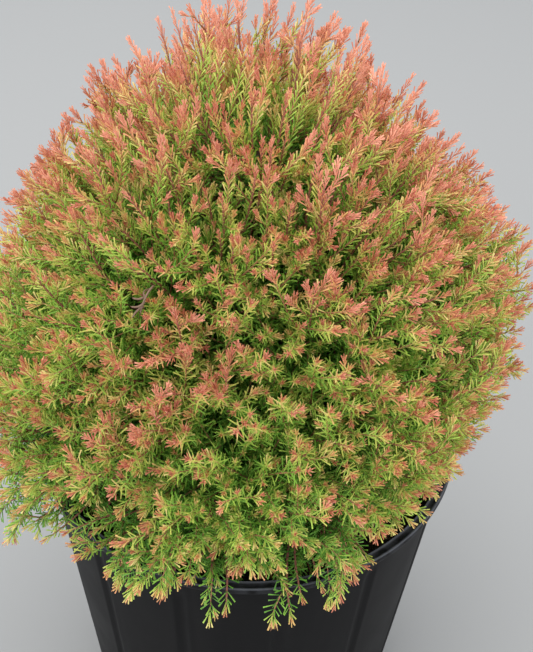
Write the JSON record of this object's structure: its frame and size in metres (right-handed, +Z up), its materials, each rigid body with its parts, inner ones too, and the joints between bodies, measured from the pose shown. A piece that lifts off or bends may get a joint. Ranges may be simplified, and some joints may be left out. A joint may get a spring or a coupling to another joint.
{
  "type": "potted eastern arborvitae",
  "caption": "Dwarf globe-shaped eastern arborvitae with soft juvenile needles, green inside and salmon at the shoot tips, growing in a dark plastic nursery pot.",
  "frame": {"origin": "middle of the pot's flat underside, on the surface that the pot stands on", "axes": "+Z up; -Y towards the front, the side that the picture shows; +X to the right seen from the front"},
  "size_m": [0.3796, 0.3759, 0.5863],
  "materials": {
    "pot_plastic": "matte",
    "potting_mix": "rough",
    "bark": "rough",
    "foliage_top": "matte",
    "foliage_upper": "matte",
    "foliage_middle": "matte",
    "foliage_lower": "matte"
  },
  "bodies": {
    "root": {"pot": "pot_plastic", "soil": "potting_mix", "trunk": "bark", "foliage_top": "foliage_top", "bough_upper_1": "bark", "foliage_upper_1": "foliage_upper", "bough_upper_2": "bark", "foliage_upper_2": "foliage_upper", "bough_upper_3": "bark", "foliage_upper_3": "foliage_upper", "bough_upper_4": "bark", "foliage_upper_4": "foliage_upper", "bough_upper_5": "bark", "foliage_upper_5": "foliage_upper", "bough_middle_1": "bark", "foliage_middle_1": "foliage_middle", "bough_middle_2": "bark", "foliage_middle_2": "foliage_middle", "bough_middle_3": "bark", "foliage_middle_3": "foliage_middle", "bough_middle_4": "bark", "foliage_middle_4": "foliage_middle", "bough_middle_5": "bark", "foliage_middle_5": "foliage_middle", "bough_middle_6": "bark", "foliage_middle_6": "foliage_middle", "bough_middle_7": "bark", "foliage_middle_7": "foliage_middle", "bough_lower_1": "bark", "foliage_lower_1": "foliage_lower", "bough_lower_2": "bark", "foliage_lower_2": "foliage_lower", "bough_lower_3": "bark", "foliage_lower_3": "foliage_lower", "bough_lower_4": "bark", "foliage_lower_4": "foliage_lower", "bough_lower_5": "bark", "foliage_lower_5": "foliage_lower", "bough_lower_6": "bark", "foliage_lower_6": "foliage_lower", "bough_lower_7": "bark", "foliage_lower_7": "foliage_lower", "bough_lower_8": "bark", "foliage_lower_8": "foliage_lower"}
  },
  "joints": []
}
